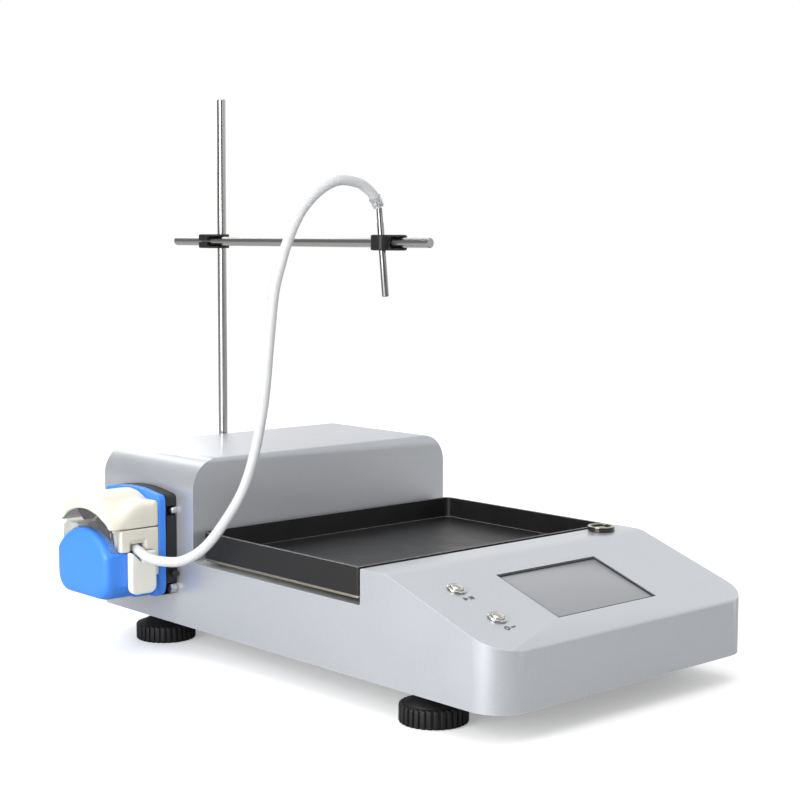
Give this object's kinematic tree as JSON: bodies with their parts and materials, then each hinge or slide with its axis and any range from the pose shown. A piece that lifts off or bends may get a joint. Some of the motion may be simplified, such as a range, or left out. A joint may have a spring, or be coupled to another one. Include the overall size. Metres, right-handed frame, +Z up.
{
  "type": "peristaltic pump dispenser",
  "caption": "Benchtop gravimetric dispenser: scale housing with weighing tray, flip-top peristaltic pump head, hose and nozzle on an adjustable stand.",
  "frame": {"origin": "middle of the footprint's bounding box, on the surface that the feet stand on", "axes": "+Z up, +Y from the sloped front panel to the rear, +X to the right as the front is faced; the pump head is on -X"},
  "size_m": [0.353, 0.538, 0.462],
  "materials": {
    "main_housing": "silver metallic paint, satin",
    "base_plate": "silver paint",
    "rear_panel": "silver paint",
    "screen_glass": "dark grey touch glass, display off",
    "display_module": "black module",
    "button_bush_upper": "polished ring",
    "button_bush_lower": "polished ring",
    "button_upper": "polished domed cap",
    "button_lower": "polished domed cap",
    "level_ring": "dark bronze ring",
    "level_glass": "clear vial cap",
    "weighing_tray": "black powder coat, semi-gloss",
    "pan_support": "yellow passivated plate",
    "load_cell": "machined",
    "load_cell_base": "plain",
    "foot_nut_front_left": "zinc plated",
    "foot_nut_front_right": "zinc plated",
    "foot_nut_rear_left": "zinc plated",
    "foot_nut_rear_right": "zinc plated",
    "foot_front_left": "black, ribbed",
    "foot_front_right": "black, ribbed",
    "foot_rear_left": "black, ribbed",
    "foot_rear_right": "black, ribbed",
    "stepper_motor": "black end caps and laminations",
    "power_supply": "folded case",
    "control_board": "green solder mask",
    "power_inlet": "black",
    "mast_bracket": "black",
    "mast": "polished stainless",
    "pump_mount_plate": "black",
    "mount_nut": "zinc plated",
    "mount_screw": "zinc plated",
    "mount_knob": "black",
    "pump_rear_body": "blue, fine texture",
    "pump_front_cover": "blue, fine texture",
    "clear_window": "clear moulded plastic",
    "flip_cover": "cream",
    "occlusion_bed": "cream",
    "tube_holder_outlet": "cream",
    "tube_holder_inlet": "cream",
    "tube_clamp_outlet": "cream",
    "tube_clamp_inlet": "cream",
    "head_tube": "translucent silicone",
    "rotor": "black, turned",
    "roller_a": "dark acetal",
    "roller_b": "dark acetal",
    "roller_c": "dark acetal",
    "roller_d": "dark acetal",
    "mast_clip": "black",
    "cross_rod": "polished stainless",
    "nozzle_clip": "black",
    "nozzle": "bright stainless tube",
    "hose_rise": "translucent silicone",
    "hose_drop": "translucent silicone"
  },
  "bodies": {
    "housing": {"main_housing": "main_housing", "base_plate": "base_plate", "rear_panel": "rear_panel", "screen_glass": "screen_glass", "display_module": "display_module", "button_bush_upper": "button_bush_upper", "button_bush_lower": "button_bush_lower", "level_ring": "level_ring", "level_glass": "level_glass", "pan_support": "pan_support", "load_cell": "load_cell", "load_cell_base": "load_cell_base", "foot_nut_front_left": "foot_nut_front_left", "foot_nut_front_right": "foot_nut_front_right", "foot_nut_rear_left": "foot_nut_rear_left", "foot_nut_rear_right": "foot_nut_rear_right", "stepper_motor": "stepper_motor", "power_supply": "power_supply", "control_board": "control_board", "power_inlet": "power_inlet", "mast_bracket": "mast_bracket", "mast": "mast", "pump_mount_plate": "pump_mount_plate", "mount_nut": "mount_nut", "mount_screw": "mount_screw", "mount_knob": "mount_knob", "pump_rear_body": "pump_rear_body", "pump_front_cover": "pump_front_cover", "clear_window": "clear_window", "tube_holder_outlet": "tube_holder_outlet", "tube_holder_inlet": "tube_holder_inlet", "head_tube": "head_tube", "hose_rise": "hose_rise"},
    "tray": {"weighing_tray": "weighing_tray"},
    "cover": {"flip_cover": "flip_cover", "occlusion_bed": "occlusion_bed"},
    "outlet_clamp": {"tube_clamp_outlet": "tube_clamp_outlet"},
    "inlet_clamp": {"tube_clamp_inlet": "tube_clamp_inlet"},
    "rotor": {"rotor": "rotor"},
    "roller_a": {"roller_a": "roller_a"},
    "roller_b": {"roller_b": "roller_b"},
    "roller_c": {"roller_c": "roller_c"},
    "roller_d": {"roller_d": "roller_d"},
    "upper_button": {"button_upper": "button_upper"},
    "lower_button": {"button_lower": "button_lower"},
    "foot_fl": {"foot_front_left": "foot_front_left"},
    "foot_fr": {"foot_front_right": "foot_front_right"},
    "foot_rl": {"foot_rear_left": "foot_rear_left"},
    "foot_rr": {"foot_rear_right": "foot_rear_right"},
    "arm": {"mast_clip": "mast_clip", "cross_rod": "cross_rod"},
    "nozzle_carrier": {"nozzle_clip": "nozzle_clip", "nozzle": "nozzle", "hose_drop": "hose_drop"}
  },
  "joints": [
    {"name": "tray_lift", "type": "slide", "parent": "housing", "child": "tray", "axis": [0, 0, 1], "range_m": [0, 0.04]},
    {"name": "cover_hinge", "type": "hinge", "parent": "housing", "child": "cover", "pos_m": [-0.1485, 0.1735, 0.1085], "axis": [-1, 0, 0], "range_deg": [0, 75]},
    {"name": "outlet_clamp_slide", "type": "slide", "parent": "housing", "child": "outlet_clamp", "axis": [0, 0, -1], "range_m": [0, 0.006]},
    {"name": "inlet_clamp_slide", "type": "slide", "parent": "housing", "child": "inlet_clamp", "axis": [0, 0, -1], "range_m": [0, 0.006]},
    {"name": "rotor_spin", "type": "hinge", "parent": "housing", "child": "rotor", "pos_m": [-0.1459, 0.137, 0.088], "axis": [1, 0, 0], "continuous": true},
    {"name": "roller_a_spin", "type": "hinge", "parent": "rotor", "child": "roller_a", "pos_m": [-0.1459, 0.1541, 0.088], "axis": [1, 0, 0], "continuous": true},
    {"name": "roller_b_spin", "type": "hinge", "parent": "rotor", "child": "roller_b", "pos_m": [-0.1459, 0.137, 0.1051], "axis": [1, 0, 0], "continuous": true},
    {"name": "roller_c_spin", "type": "hinge", "parent": "rotor", "child": "roller_c", "pos_m": [-0.1459, 0.1199, 0.088], "axis": [1, 0, 0], "continuous": true},
    {"name": "roller_d_spin", "type": "hinge", "parent": "rotor", "child": "roller_d", "pos_m": [-0.1459, 0.137, 0.0709], "axis": [1, 0, 0], "continuous": true},
    {"name": "upper_button_press", "type": "slide", "parent": "housing", "child": "upper_button", "axis": [0, 0.3208, -0.9471], "range_m": [0, 0.0012], "stiffness_N_per_m": 800},
    {"name": "lower_button_press", "type": "slide", "parent": "housing", "child": "lower_button", "axis": [0, 0.3208, -0.9471], "range_m": [0, 0.0012], "stiffness_N_per_m": 800},
    {"name": "foot_fl_turn", "type": "hinge", "parent": "housing", "child": "foot_fl", "pos_m": [-0.0885, -0.187, 0.01], "axis": [0, 0, 1], "continuous": true},
    {"name": "foot_fr_turn", "type": "hinge", "parent": "housing", "child": "foot_fr", "pos_m": [0.1515, -0.187, 0.01], "axis": [0, 0, 1], "continuous": true},
    {"name": "foot_rl_turn", "type": "hinge", "parent": "housing", "child": "foot_rl", "pos_m": [-0.0885, 0.1435, 0.01], "axis": [0, 0, 1], "continuous": true},
    {"name": "foot_rr_turn", "type": "hinge", "parent": "housing", "child": "foot_rr", "pos_m": [0.1515, 0.1435, 0.01], "axis": [0, 0, 1], "continuous": true},
    {"name": "arm_height", "type": "slide", "parent": "housing", "child": "arm", "axis": [0, 0, 1], "range_m": [-0.06, 0.05], "deforming": ["hose_rise", "hose_drop"]},
    {"name": "nozzle_reach", "type": "slide", "parent": "arm", "child": "nozzle_carrier", "axis": [0, 1, 0], "range_m": [-0.025, 0.06]}
  ],
  "couplings": [
    {"joint": "roller_a_spin", "follows": "rotor_spin", "ratio": -3.758},
    {"joint": "roller_b_spin", "follows": "rotor_spin", "ratio": -3.758},
    {"joint": "roller_c_spin", "follows": "rotor_spin", "ratio": -3.758},
    {"joint": "roller_d_spin", "follows": "rotor_spin", "ratio": -3.758}
  ]
}
